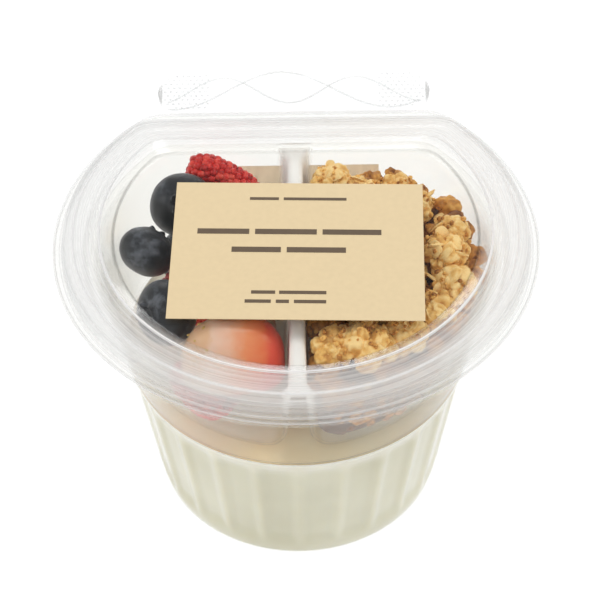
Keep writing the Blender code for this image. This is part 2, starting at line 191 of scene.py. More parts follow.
def clear_plastic(name, clear_tint, veil_colour, edge_tint, gloss=0.12, base_haze=0.0, streaks=0.35,
                  milk_through=0.5):
    """Thin clear sheet: see-through, glossy by angle and milky by the mesh's haze, which is partly real haze and smears
    and partly a painted veil of reflected light. Its painted lines put painted shade along dark bends and painted
    highlights along white ones.
    """
    s = Shader(name)
    facing = s.add("LayerWeight", {"Blend": 0.5}).outputs["Facing"]
    painted_line = s.attribute("painted_line")
    # Positive painted-line values paint shade, a dark line at a bend; negative ones paint a highlight, a white line.
    dark = s.maths("MAXIMUM", painted_line, 0.0)
    white = s.maths("MAXIMUM", s.maths("MULTIPLY", painted_line, -1.0), 0.0)
    grazing = s.maths("POWER", facing, 4.0)
    tint = s.blend(grazing, clear_tint, edge_tint)
    # Painted shade: along dark lines the see-through colour turns dark grey.
    tint = s.blend(dark, tint, (0.18, 0.17, 0.16))
    see_through = s.add("BsdfTransparent", {0: tint}).outputs[0]
    ripple = s.bump(s.noise(90.0, 3.0), 0.25, 0.4)
    glossy = s.add("BsdfGlossy", {"Color": (1, 1, 1, 1), "Roughness": gloss, "Normal": ripple}).outputs[0]
    schlick = s.maths("ADD", s.maths("MULTIPLY", s.maths("POWER", facing, 5.0), 0.9), 0.02, clamp=True)
    sheet = s.mix(schlick, see_through, glossy)
    shine = s.add("BsdfDiffuse", {0: (*veil_colour, 1)}).outputs[0]
    glow = s.add("BsdfTranslucent", {0: (*veil_colour, 1)}).outputs[0]
    milky = s.mix(milk_through, shine, glow)
    wander = s.maths("MULTIPLY", s.noise(14.0, 3.0), 3.0)
    across = s.maths("ADD", s.maths("MULTIPLY", s.attribute("along"), 1.0), wander)
    streak = s.add("TexNoise", {"W": across, "Scale": 1.3, "Detail": 4.0, "Roughness": 0.7},
                   noise_dimensions="1D").outputs[0]
    uneven = s.add("MapRange", {"Value": streak, "From Min": 0.3, "From Max": 0.7, "To Min": 1 - streaks,
                                "To Max": 1 + streaks}).outputs[0]
    # This milky share is partly real haze and smears, partly a painted veil of reflected light.
    haze_and_sheen = s.maths("MULTIPLY", s.maths("ADD", s.attribute("haze_and_sheen"), base_haze), uneven)
    # Painted highlight: white lines add milky white on top of the haze.
    haze_and_sheen = s.maths("ADD", haze_and_sheen, white, clamp=True)
    return s.finish(s.mix(haze_and_sheen, sheet, milky))


def solid(name, base, roughness, bump=None, subsurface=0.0, radius_mm=(1, 1, 1), specular=0.5, sheen=0.0):
    """Builds on Principled: base is a function from the shader to a colour, and bump one to a normal."""
    s = Shader(name)
    inputs = {"Base Color": base(s), "Specular IOR Level": specular, "Subsurface Weight": subsurface,
              "Subsurface Radius": Vector(radius_mm), "Subsurface Scale": MM, "Sheen Weight": sheen}
    inputs["Roughness"] = roughness(s) if callable(roughness) else roughness
    if bump:
        inputs["Normal"] = bump(s)
    return s.finish(s.add("BsdfPrincipled", inputs).outputs[0])


def yogurt_body():
    """Cream colour, a little paler at the shoulder."""
    def base(s):
        body = s.ramp(s.noise(45.0, 3.0), [(0.35, colour(202, 198, 172)), (0.65, colour(215, 212, 189))])
        height = s.add("SeparateXYZ", {0: s.place()}).outputs["Z"]
        share = s.add("MapRange", {"Value": height, "From Min": 32 * MM, "From Max": 37 * MM}).outputs[0]
        return s.blend(share, body, colour(228, 225, 210))

    return solid("yogurt_body", base, 0.4, lambda s: s.bump(s.noise(160.0, 3.0), 0.15, 0.5), 0.4, (3, 2.4, 1.6))


def painted_shade_yogurt_top():
    """Painted shade: tan towards the front, where the top lies in the shade under the tray, warmed by bounced light,
    and cream behind.
    """
    def base(s):
        front = s.ramp(s.noise(70.0, 3.0), [(0.3, colour(255, 234, 178)), (0.7, colour(255, 246, 204))])
        depth = s.add("SeparateXYZ", {0: s.place()}).outputs["Y"]
        share = s.add("MapRange", {"Value": depth, "From Min": -18 * MM, "From Max": -6 * MM}).outputs[0]
        return s.blend(share, front, colour(238, 234, 218))

    return solid("yogurt_shade", base, 0.45, lambda s: s.bump(s.noise(120.0, 3.0), 0.3, 1.0))


def blueberry_skin():
    def base(s):
        bloom = s.noise(130.0, 5.0, 0.65)
        speck = s.noise(700.0, 2.0)
        mixed = s.maths("ADD", s.maths("MULTIPLY", bloom, 0.8), s.maths("MULTIPLY", speck, 0.2))
        return s.ramp(mixed, [(0.40, colour(10, 11, 14)), (0.54, colour(34, 37, 43)), (0.72, colour(108, 112, 120))])

    return solid("blueberry_skin", base, 0.42, lambda s: s.bump(s.noise(500.0, 3.0), 0.15, 0.2), specular=0.4,
                 sheen=0.12)


def raspberry_flesh():
    def base(s):
        tone = s.maths("ADD", s.attribute("tone"), s.maths("MULTIPLY", s.noise(300.0), 0.4))
        return s.ramp(tone, [(0.2, colour(132, 10, 10)), (0.7, colour(206, 34, 30)), (1.0, colour(230, 78, 62))])

    return solid("raspberry_flesh", base, 0.34, lambda s: s.bump(s.noise(900.0), 0.1, 0.1), 0.3, (1.6, 0.3, 0.2),
                 specular=0.35)


def strawberry_flesh():
    def base(s):
        along = s.maths("ADD", s.attribute("tone"), s.maths("MULTIPLY", s.noise(240.0, 6.0, 0.7), 0.26))
        return s.ramp(along, [(0.11, colour(214, 172, 134)), (0.38, colour(218, 178, 142)), (0.45, colour(228, 194, 172)),
                              (0.60, colour(228, 182, 154)), (0.76, colour(228, 144, 96)), (0.92, colour(226, 118, 74)),
                              (1.0, colour(222, 84, 62))])

    return solid("strawberry_flesh", base, 0.3, lambda s: s.bump(s.noise(420.0, 4.0), 0.2, 0.3), 0.3, (2.5, 1, 0.6),
                 specular=0.3)


def granola_toast(name, low, middle, high):
    def base(s):
        grain = s.maths("ADD", s.maths("MULTIPLY", s.noise(480.0, 4.0, 0.65), 0.9), -0.2)
        return s.ramp(s.maths("ADD", s.attribute("tone"), grain), [(0.3, low), (0.65, middle), (0.95, high)])

    def bump(s):
        fine = s.add("Bump", {"Height": s.noise(1300.0, 3.0), "Strength": 0.5, "Distance": 0.15 * MM}).outputs[0]
        return s.add("Bump", {"Height": s.noise(420.0, 3.0), "Strength": 0.45, "Distance": 0.5 * MM,
                              "Normal": fine}).outputs[0]

    return solid(name, base, 0.55, bump, specular=0.35)


def paper(name, tone, see_through=0.0, stretch=(1, 1, 1), contrast=0.04):
    """Matt paper with uneven fibres, through which some light passes."""
    s = Shader(name)
    where = s.add("Mapping", {"Vector": s.place(), "Scale": stretch}).outputs[0]
    pale = s.ramp(s.noise(800.0, 4.0, where=where), [(0.3, tone), (0.7, tuple((1 - contrast) * v for v in tone))])
    fibres = s.bump(s.noise(1500.0, 3.0), 0.2, 0.05)
    inputs = {"Base Color": pale, "Roughness": 0.6, "Normal": fibres, "Specular IOR Level": 0.25}
    surface = s.add("BsdfPrincipled", inputs).outputs[0]
    if see_through:
        surface = s.mix(see_through, surface, s.add("BsdfTranslucent", {0: pale}).outputs[0])
    return s.finish(surface)


def plain(name, tone, roughness):
    def base(s):
        return s.ramp(s.noise(500.0, 3.0), [(0.3, tone), (0.7, tuple(0.9 * value for value in tone))])

    return solid(name, base, roughness)


class Pile:
    """Points in millimetres and faces that become one piece, with a tone for each point."""

    def __init__(self):
        self.points, self.faces, self.tones = [], [], []

    def add(self, points, faces, tone=0.5):
        first = len(self.points)
        self.points += points
        self.faces += [[first + i for i in face] for face in faces]
        self.tones += tone if isinstance(tone, list) else [tone] * len(points)

    def piece(self, name, material, replaced=(), smooth=True):
        data = bpy.data.meshes.new(name)
        data.from_pydata([Vector(point) * MM for point in self.points], [], self.faces)
        data.attributes.new("tone", "FLOAT", "POINT").data.foreach_set("value", self.tones)
        return finish_piece(name, data, material, replaced, smooth)


def finish_piece(name, data, material, replaced=(), smooth=True):
    """Turns the mesh outwards, gives it its material, and puts it on the frame."""
    mesh = bmesh.new()
    mesh.from_mesh(data)
    bmesh.ops.recalc_face_normals(mesh, faces=mesh.faces)
    mesh.to_mesh(data)
    mesh.free()
    if smooth:
        data.shade_smooth()
        data.set_sharp_from_angle(angle=math.radians(50))
    made = bpy.data.objects.new(name, data)
    bpy.context.scene.collection.objects.link(made)
    data.materials.append(material)
    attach(made, ROOT)
    if replaced:
        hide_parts(*replaced)
    return made


def arc(centre, radius, start, end, steps):
    """Points on a horizontal arc, without its last one."""
    angles = [start + (end - start) * i / steps for i in range(steps)]
    return [(centre[0] + radius * math.cos(a), centre[1] + radius * math.sin(a)) for a in angles]


def dee(radius, back, corner, height=0, fluted=False):
    """Points of a circle cut straight at the back, with rounded corners, at a height."""
    corner_y = back - corner
    corner_x = math.sqrt((radius - corner) ** 2 - corner_y ** 2)
    turn = math.atan2(corner_y, corner_x)
    outline = arc((0, 0), radius, turn, -math.pi - turn, ROUND_STEPS)
    if fluted:
        for i, (x, y) in enumerate(outline):
            pressed = 1 - flute(height, FLUTES * i / ROUND_STEPS) / radius
            outline[i] = (x * pressed, y * pressed)
    outline += arc((-corner_x, corner_y), corner, math.pi - turn, math.pi / 2, CORNER_STEPS)
    outline += [(corner_x * (2 * i / FLAT_STEPS - 1), back) for i in range(FLAT_STEPS)]
    outline += arc((corner_x, corner_y), corner, math.pi / 2, turn, CORNER_STEPS)
    return [(x, y, height) for x, y in outline]


def ease(value):
    """Smooth step from 0 to 1."""
    value = min(1, max(0, value))
    return value * value * (3 - 2 * value)


def flute(height, turn):
    """How far the wall is pressed in at a height. Ribs stand at whole numbers of turn, and flutes end in arches."""
    off_rib = abs((turn + 0.5) % 1 - 0.5) * 2
    pressed = 1 - math.exp(-(off_rib / 0.34) ** 2)
    top = FLUTE_TOP - 2.2 * (1 - math.sqrt(max(0, 1 - (1 - off_rib) ** 4)))
    return FLUTE_DEPTH * pressed * ease((top - height) / 2.6) * ease((height - FLUTE_LOW) / 3)


def round_corners(stations, reach=0.5, steps=4):
    """Rounds the corners of a profile. A station is radius, back, height, haze and the painted line along its corner,
    painted shade or a painted highlight.
    """
    result = [(*stations[0][:4], 0)]
    for before, here, after in zip(stations, stations[1:], stations[2:]):
        ends = []
        for other in (before, after):
            length = math.dist(here[:3], other[:3])
            share = min(0.45, reach / length)
            ends.append([a + (b - a) * share for a, b in zip(here[:4], other[:4])])
        for i in range(steps + 1):
            t = i / steps
            weights = ((1 - t) ** 2, 2 * t * (1 - t), t ** 2)
            mixed = [sum(w * p for w, p in zip(weights, triple)) for triple in zip(ends[0], here[:4], ends[1])]
            result.append((*mixed, here[4] * 4 * t * (1 - t)))
    result.append((*stations[-1][:4], 0))
    return result


def fill_in(stations, spacing):
    """Adds stations wherever two are further apart than the spacing."""
    result = []
    for here, after in zip(stations, stations[1:]):
        steps = max(1, math.ceil(math.dist(here[:3], after[:3]) / spacing))
        result += [tuple(a + (b - a) * i / steps for a, b in zip(here, after)) for i in range(steps)]
    return result + [stations[-1]]


def offset(stations, thickness):
    """The same profile moved by a thickness to its left, seen along it in radius and height."""
    result = []
    for i, (radius, back, height, *rest) in enumerate(stations):
        before, after = stations[max(0, i - 1)], stations[min(len(stations) - 1, i + 1)]
        across, up = after[0] - before[0], after[2] - before[2]
        length = math.hypot(across, up)
        shift = -up / length * thickness
        result.append((radius + shift, back + shift, height + across / length * thickness, *rest))
    return result


def dee_rings(stations, fluted=False):
    rings = []
    for radius, back, height, *_ in stations:
        corner = DEE_CORNER + (RIM_CORNER - DEE_CORNER) * ease((radius - SKIRT_RADIUS) / (RIM_RADIUS - SKIRT_RADIUS))
        rings.append(dee(radius, back, corner, height, fluted and height < SHOULDER_HEIGHT))
    return rings


def loft_faces(count, rings, closed=False):
    """Quads between rings of equally many points, and a cap at each end unless closed."""
    faces = []
    for row in range(rings if closed else rings - 1):
        low, high = row * count, (row + 1) % rings * count
        faces += [(low + i - 1 + count * (i == 0), low + i, high + i, high + i - 1 + count * (i == 0))
                  for i in range(count)]
    if not closed:
        faces += [list(range(count)), list(range((rings - 1) * count, rings * count))]
    return faces


def shell(name, stations, thickness, material, replaced=(), fluted=False):
    """A closed D-shaped sheet: its stations and the same ones a thickness away."""
    both = stations + offset(stations, thickness)[::-1]
    rings = dee_rings(both, fluted)
    data = bpy.data.meshes.new(name)
    count = len(rings[0])
    points = [Vector(point) * MM for ring in rings for point in ring]
    data.from_pydata(points, [], loft_faces(count, len(rings)))
    along = [0]
    for here, after in zip(stations, stations[1:]):
        along.append(along[-1] + math.dist(here[:3], after[:3]))
    columns = {"haze_and_sheen": [station[3] for station in both], "painted_line": [station[4] for station in both],
               "along": along + along[::-1]}
    for key, column in columns.items():
        values = [value for value in column for _ in range(count)]
        # The painted lines fade towards the back.
        if key == "painted_line":
            values = [value * (1 - 0.6 * ease((ring_y - 8) / 20)) for value, ring_y in
                      zip(values, (point.y / MM for point in points))]
        data.attributes.new(key, "FLOAT", "POINT").data.foreach_set("value", values)
    return finish_piece(name, data, material, replaced)


def make_lid(material):
    """A clear panel in a raised crown, a skirt and a flange with a fine bead."""
    panel, crown, flange = RIM_HEIGHT + PANEL_RISE, RIM_HEIGHT + CROWN_RISE, RIM_HEIGHT + 0.2
    lean = 0.4
    # Each station ends with its haze, a painted veil of reflected light on the crown, and its painted line: negative
    # values paint a highlight, positive ones paint shade.
    stations = [
        (PANEL_RADIUS - 2, PANEL_BACK - 2, panel, 0.0, 0),
        (PANEL_RADIUS, PANEL_BACK, panel, 0.0, 0.3),
        (CROWN_INNER_RADIUS, CROWN_INNER_BACK, crown, 0.22, -0.9),
        (CROWN_INNER_RADIUS + 1.8, CROWN_INNER_BACK + 1.8, crown - 0.02, 0.34, 0),
        (CROWN_OUTER_RADIUS, CROWN_OUTER_BACK, crown - lean, 0.4, -0.5),
        (SKIRT_RADIUS - lean, SKIRT_BACK - lean, crown - 1.4, 0.38, 0.1),
        (SKIRT_RADIUS, SKIRT_BACK, flange, 0.25, 0.05),
        (SKIRT_RADIUS + 0.55, SKIRT_BACK + 0.9, flange + 0.02, 0.05, -0.4),
        (RIM_RADIUS - 0.5, RIM_BACK - 0.6, flange, 0.08, 0.16),
        (RIM_RADIUS, RIM_BACK, flange - 0.05, 0.3, 0),
    ]
    shell("lid_sheet", round_corners(stations), -0.4, material, ["lid"])


def wall(height):
    """Radius and back of the cup's outer wall at a height above its rounding."""
    if height < SHOULDER_HEIGHT:
        share = (height - BASE_ROUNDING) / (SHOULDER_HEIGHT - BASE_ROUNDING)
        start, end = (BASE_RADIUS, BASE_BACK), (SHOULDER_RADIUS - SHEET, SHOULDER_BACK - SHEET)
    else:
        share = (height - SHOULDER_HEIGHT) / (MOUTH_HEIGHT - SHOULDER_HEIGHT)
        start, end = (SHOULDER_RADIUS, SHOULDER_BACK), (MOUTH_RADIUS, MOUTH_BACK)
    return tuple(a + (b - a) * share for a, b in zip(start, end))


def lower_wall(haze_and_sheen):
    """Stations of the cup's outer face from its foot to its shoulder."""
    foot = [(BASE_RADIUS - share * BASE_ROUNDING, BASE_BACK - share * BASE_ROUNDING, lift * BASE_ROUNDING, haze_and_sheen, 0)
            for share, lift in ((0.95, 0), (0.62, 0.05), (0.33, 0.2), (0.12, 0.47))]
    sides = [(*wall(height), height, haze_and_sheen, 0) for height in (BASE_ROUNDING, FLUTE_LOW, FLUTE_TOP, 37.2)]
    return foot + sides


def make_cup(material):
    """Fluted below the shoulder, smooth above it, with a ledge and a flange at the mouth."""
    ledge = MOUTH_HEIGHT + 0.4
    under = RIM_HEIGHT - 1.1
    haze_and_sheen = 0.006
    foot = lower_wall(haze_and_sheen)
    inner_foot = foot[0]
    punt = [(inner_foot[0] - 2.2, inner_foot[1] - 2.2, 0.5, haze_and_sheen, 0), (inner_foot[0] - 0.8, inner_foot[1] - 0.8, 0.1, haze_and_sheen, 0)]
    # Negative last values paint highlight lines at the shoulder, mouth and ledge; the positive one paints a shade line
    # under the ledge.
    above = [
        (*wall(SHOULDER_HEIGHT), SHOULDER_HEIGHT, haze_and_sheen, -0.25),
        (*wall(MOUTH_HEIGHT), MOUTH_HEIGHT, 0.01, -0.2),
        (MOUTH_RADIUS + LEDGE_WIDTH, MOUTH_BACK + LEDGE_WIDTH, ledge, 0.02, -0.1),
        (MOUTH_RADIUS + LEDGE_WIDTH + 0.6, MOUTH_BACK + LEDGE_WIDTH + 0.6, under, 0.012, 0.12),
        (RIM_RADIUS - 0.4, RIM_BACK - 0.4, under, 0.02, 0),
        (RIM_RADIUS, RIM_BACK, under + 0.15, 0.1, 0),
    ]
    stations = fill_in(punt + foot, 1.5) + fill_in(round_corners([foot[-1]] + above, 0.6)[1:], 2)
    shell("cup_sheet", stations, SHEET, material, ["cup"], fluted=True)


def make_yogurt(body, top):
    """Fills the fluted cup, reaching into its wall, with a gently uneven top."""
    reach = 0.5 * SHEET
    stations = [(radius - reach, back - reach, max(height, reach), 0, 0) for radius, back, height, *_ in lower_wall(0)]
    stations.append((SHOULDER_RADIUS - reach - 0.1, SHOULDER_BACK - reach - 0.1, YOGURT_LEVEL - 0.3, 0, 0))
    stations = fill_in(stations, 1.5)
    rings = dee_rings(stations, True)
    edge = rings[-1]
    for share in (0.985, 0.96, 0.9, 0.8, 0.68, 0.55, 0.42, 0.3, 0.18, 0.08):
        ring = []
        for x, y, _ in edge:
            place = Vector((x * share, y * share, 0))
            swell = noise.noise(place * 0.11) * 0.45 + noise.noise(place * 0.3) * 0.12
            ring.append((place.x, place.y, YOGURT_LEVEL - 0.45 + swell * (1 - share ** 8)))
        rings.append(ring)
    pile = Pile()
    count = len(edge)
    pile.add([point for ring in rings for point in ring], loft_faces(count, len(rings)))
    made = pile.piece("yogurt_fill", body, ["yogurt"])
    # The top faces take the painted shade of the yogurt top.
    made.data.materials.append(top)
    for face in made.data.polygons:
        if face.center.z > (YOGURT_LEVEL - 1.1) * MM and face.normal.z > 0.5:
            face.material_index = 1


def pocket_outline(radius, back, inner_x):
    """Right half of a D with all its corners rounded."""
    corner, small = DEE_CORNER, POCKET_CORNER
    corner_y = back - corner
    corner_x = math.sqrt((radius - corner) ** 2 - corner_y ** 2)
    turn = math.atan2(corner_y, corner_x)
    front_x = inner_x + small
    front_y = -math.sqrt((radius - small) ** 2 - front_x ** 2)
    front_turn = math.atan2(front_y, front_x)
    outline = arc((corner_x, corner_y), corner, math.pi / 2, turn, CORNER_STEPS)
    outline += arc((0, 0), radius, turn, front_turn, 90)
    outline += arc((front_x, front_y), small, front_turn, -math.pi, CORNER_STEPS)
    outline += [(inner_x, front_y + (back - small - front_y) * i / 24) for i in range(24)]
    outline += arc((front_x, back - small), small, -math.pi, -1.5 * math.pi, CORNER_STEPS)
    outline += [(front_x + (corner_x - front_x) * i / FLAT_STEPS, back) for i in range(FLAT_STEPS)]
    return outline


def pocket_ring(height, inset, side=1):
    """Outline of a pocket's wall at a height, moved inwards by an inset. Side is 1 for right and -1 for left."""
    share = max(0, (height - TRAY_BOTTOM - POCKET_ROUNDING) / (TRAY_TOP - TRAY_BOTTOM - POCKET_ROUNDING))
    radius = POCKET_BOTTOM_RADIUS + (POCKET_TOP_RADIUS - POCKET_BOTTOM_RADIUS) * share
    back = POCKET_BOTTOM_BACK + (POCKET_TOP_BACK - POCKET_BOTTOM_BACK) * share
    inner_x = (DIVIDER_BOTTOM_WIDTH + (DIVIDER_TOP_WIDTH - DIVIDER_BOTTOM_WIDTH) * share) / 2 - THIN_SHEET
    return [(side * x, y, height) for x, y in pocket_outline(radius - inset, back - inset, inner_x + inset)]


def make_tray(material):
    """Two pockets with soft edges hanging from one flange."""
    floor = TRAY_BOTTOM + THIN_SHEET
    rounding = POCKET_ROUNDING
    path = [(-0.5, 0, TRAY_TOP), (0.0, 0, TRAY_TOP - 0.25), (THIN_SHEET, 0, TRAY_TOP - 0.9)]
    path += [(THIN_SHEET, 0, height) for height in (62, 59, 56, 53, 50, 47, 45)]
    path += [(THIN_SHEET + rounding * a, 0, floor + rounding * b) for a, b in ((0, 1), (0.1, 0.6), (0.35, 0.22), (1, 0))]
    inner, outer = path, offset(path, -THIN_SHEET)
    outer[0] = (-0.5 - THIN_SHEET, 0, TRAY_TOP - THIN_SHEET)
    data = bpy.data.meshes.new("tray_sheet")
    points, faces, holes = [], [], {"inner": [], "outer": []}
    for side in (-1, 1):
        for key, profile in (("inner", inner), ("outer", outer)):
            rings = [pocket_ring(height, inset, side) for inset, _, height in profile]
            count, first = len(rings[0]), len(points)
            points += [point for ring in rings for point in ring]
            quads = loft_faces(count, len(rings))
            faces += [[first + i for i in face] for face in quads[:-2] + quads[-1:]]
            holes[key].append((first, count))
    for key, height in (("inner", TRAY_TOP), ("outer", TRAY_TOP - THIN_SHEET)):
        edge = dee(TRAY_FLANGE_RADIUS, TRAY_FLANGE_BACK, DEE_CORNER, height)
        first = len(points)
        points += edge
        numbers = list(range(first, first + len(edge)))
        loops = [[Vector(point) for point in edge]]
        for start, count in holes[key]:
            numbers += list(range(start, start + count))
            loops.append([Vector((*points[i][:2], height)) for i in range(start, start + count)])
        faces += [[numbers[i] for i in triangle] for triangle in geometry.tessellate_polygon(loops)]
    edges = len(edge)
    low, high = len(points) - edges, len(points) - 2 * edges
    faces += [(low + i - 1 + edges * (i == 0), low + i, high + i, high + i - 1 + edges * (i == 0)) for i in range(edges)]
    data.from_pydata([Vector(point) * MM for point in points], [], faces)
    # The divider and the flange's top get a painted pale veil that stands in for light reflected and scattered by the
    # folded clear sheet; the rest gets a faint real haze.
    haze_and_sheen = [0.004 + 0.98 * ease((3.6 - abs(x)) / 1.6) * (0.12 + 0.88 * ease((z - 51) / 7))
            + 0.05 * ease((z - TRAY_TOP + 1) / 1) for x, y, z in points]
    data.attributes.new("haze_and_sheen", "FLOAT", "POINT").data.foreach_set("value", haze_and_sheen)
    data.attributes.new("painted_line", "FLOAT", "POINT").data.foreach_set("value", [0.0] * len(points))
    finish_piece("tray_sheet", data, material, ["tray"])


def strip_section(low, high):
    """Cross-section of the folded strip from its near edge to its fold, as (y, z)."""
    bottom, top = RIM_HEIGHT - 1.1, RIM_HEIGHT + 0.2
    middle, radius = (bottom + top) / 2, (top - bottom) / 2
    thickness, lip = SHEET, 0.3
    fold = high - radius
    outside = [(low, top), (low + lip, top)] + [(fold + radius * math.sin(a), middle + radius * math.cos(a))
                              for a in (math.pi * i / 8 for i in range(9))] + [(low + lip, bottom), (low, bottom)]
    inner = radius - thickness
    inside = [(low, bottom + thickness), (low + lip, bottom + thickness)] + [(fold + inner * math.sin(a), middle - inner * math.cos(a))
                                            for a in (math.pi * i / 8 for i in range(9))]
    inside += [(low + lip, top - thickness), (low, top - thickness)]
    return outside + inside


def strip_ends(x):
    """Near and far edge of the strip at a place along it."""
    past = max(0, abs(x) - (STRIP_HALF_WIDTH - STRIP_CORNER))
    pinch = STRIP_CORNER - math.sqrt(max(0, STRIP_CORNER ** 2 - past ** 2))
    return STRIP_LOW + pinch, STRIP_REACH - pinch


def make_strip(material, line_material):
    """The folded band, two wavy weld lines and rows of grip dots at its ends."""
    places = [math.sin(math.pi * (i / 96 - 0.5)) * STRIP_HALF_WIDTH for i in range(97)]
    sections = [[(x, y, z) for y, z in strip_section(*strip_ends(x))] for x in places]
    count = len(sections[0])
    data = bpy.data.meshes.new("strip_band")
    points = [Vector(point) * MM for section in sections for point in section]
    data.from_pydata(points, [], loft_faces(count, len(sections)))
    data.attributes.new("haze_and_sheen", "FLOAT", "POINT").data.foreach_set("value", [0.05] * len(points))
    # Painted shade: a faint dark line along the fold and at the ends.
    outline = [0.14 if y > strip_ends(x)[1] - 0.5 or abs(x) > STRIP_HALF_WIDTH - 1 else 0
               for section in sections for x, y, z in section]
    data.attributes.new("painted_line", "FLOAT", "POINT").data.foreach_set("value", outline)
    finish_piece("strip_band", data, material, ["tear_strip"])
    waves = Pile()
    top = RIM_HEIGHT + 0.2
    middle = (STRIP_LOW + STRIP_REACH) / 2
    for period, height, crest in WAVES:
        route = []
        for i in range(161):
            x = -27.5 + 55 * i / 160
            y = middle + height * math.cos(2 * math.pi * (x - crest) / period)
            route.append(Vector((x, y, top)))
        tube(waves, route, 0.18)
    waves.piece("strip_lines", line_material)
    dots = Pile()
    for side in (-1, 1):
        for row in range(9):
            for column in range(8):
                x = side * (STRIP_HALF_WIDTH - 1.6 - 1.25 * column - 0.6 * (row % 2))
                y = STRIP_LOW + 1.4 + 1.3 * row
                low, high = strip_ends(x)
                if low + 0.8 < y < high - 0.8:
                    add_ball(dots, (x, y, top), (0.32, 0.32, 0.12), detail=1)
    dots.piece("strip_dots", line_material)


def tube(pile, route, radius, sides=6):
    """A thin tube along a route."""
    points = []
    for i, point in enumerate(route):
        along = (route[min(i + 1, len(route) - 1)] - route[max(i - 1, 0)]).normalized()
        across = along.cross(Vector((0, 0, 1))).normalized()
        up = across.cross(along)
        for k in range(sides):
            angle = 2 * math.pi * k / sides
            points.append(tuple(point + across * radius * math.cos(angle) + up * radius * math.sin(angle)))
    pile.add(points, loft_faces(sides, len(route)))


BALLS = {}


def unit_ball(detail):
    """Points and faces of a unit icosphere."""
    if detail not in BALLS:
        mesh = bmesh.new()
        bmesh.ops.create_icosphere(mesh, subdivisions=detail, radius=1)
        mesh.verts.ensure_lookup_table()
        points = [vert.co.copy() for vert in mesh.verts]
        faces = [[vert.index for vert in face.verts] for face in mesh.faces]
        mesh.free()
        BALLS[detail] = (points, faces)
    return BALLS[detail]


def add_ball(pile, centre, radii, turns=(0, 0, 0), detail=3, rough=0.0, seed=0.0, tone=0.5):
    """An ellipsoid, made lumpy by its roughness, whose tone follows the lumps: painted shade in the dents and painted
    light on the bumps.
    """
    points, faces = unit_ball(detail)
    spin = Euler([math.radians(angle) for angle in turns]).to_matrix()
    shift = Vector((seed * 7.3, seed * 3.1, seed * 5.7))
    placed, tones = [], []
    for point in points:
        lump = 0
        if rough:
            lump = (noise.noise(point * 1.6 + shift) + 0.5 * noise.noise(point * 4.2 + shift)
                    + 0.2 * noise.noise(point * 9.5 + shift))
        scaled = Vector([p * r * (1 + rough * lump) for p, r in zip(point, radii)])
        placed.append(tuple(spin @ scaled + Vector(centre)))
        # Painted shade and light: the tone drops in dents and rises on bumps.
        tones.append(tone + 0.4 * lump)
    pile.add(placed, faces, tones)


def smooth_profile(outline, steps):
    """Catmull-Rom points through an outline of (radius, height)."""
    result = []
    padded = [outline[0]] + outline + [outline[-1]]
    for a, b, c, d in zip(padded, padded[1:], padded[2:], padded[3:]):
        for i in range(steps):
            t = i / steps
            result.append(tuple(
                0.5 * (2 * q + (r - p) * t + (2 * p - 5 * q + 4 * r - s) * t ** 2 + (3 * q - p - 3 * r + s) * t ** 3)
                for p, q, r, s in zip(a, b, c, d)))
    return result + [outline[-1]]


def make_blueberry(number, centre, radius, turns, material):
    """A slightly flat ball with a five-pointed crown around a shallow dimple."""
    outline = [(0, -0.80), (0.50, -0.71), (0.86, -0.42), (1, 0), (0.90, 0.40), (0.62, 0.68),
               (0.44, 0.76), (0.37, 0.83), (0.31, 0.78), (0.24, 0.66), (0, 0.61)]
    profile = smooth_profile(outline, 4)
    spin = Euler([math.radians(angle) for angle in turns]).to_matrix()
    sides = 60
    points, tones = [], []
    for reach, height in profile:
        for i in range(sides):
            angle = 2 * math.pi * i / sides
            crown = math.exp(-((reach - 0.37) / 0.07) ** 2) if height > 0.5 else 0
            lobe = crown * math.cos(5 * angle)
            bent = Vector(((reach + 0.05 * lobe) * math.cos(angle), (reach + 0.05 * lobe) * math.sin(angle),
                           height + 0.05 * lobe))
            bent *= 1 + 0.03 * noise.noise(bent * 1.5 + Vector((number * 5.1, 0, 0)))
            points.append(tuple(spin @ bent * radius + Vector(centre)))
            tones.append(0.5)
    pile = Pile()
    pile.add(points, loft_faces(sides, len(profile)), tones)
    pile.piece(f"blueberry_berry_{number}", material, [f"blueberry_{number}"])


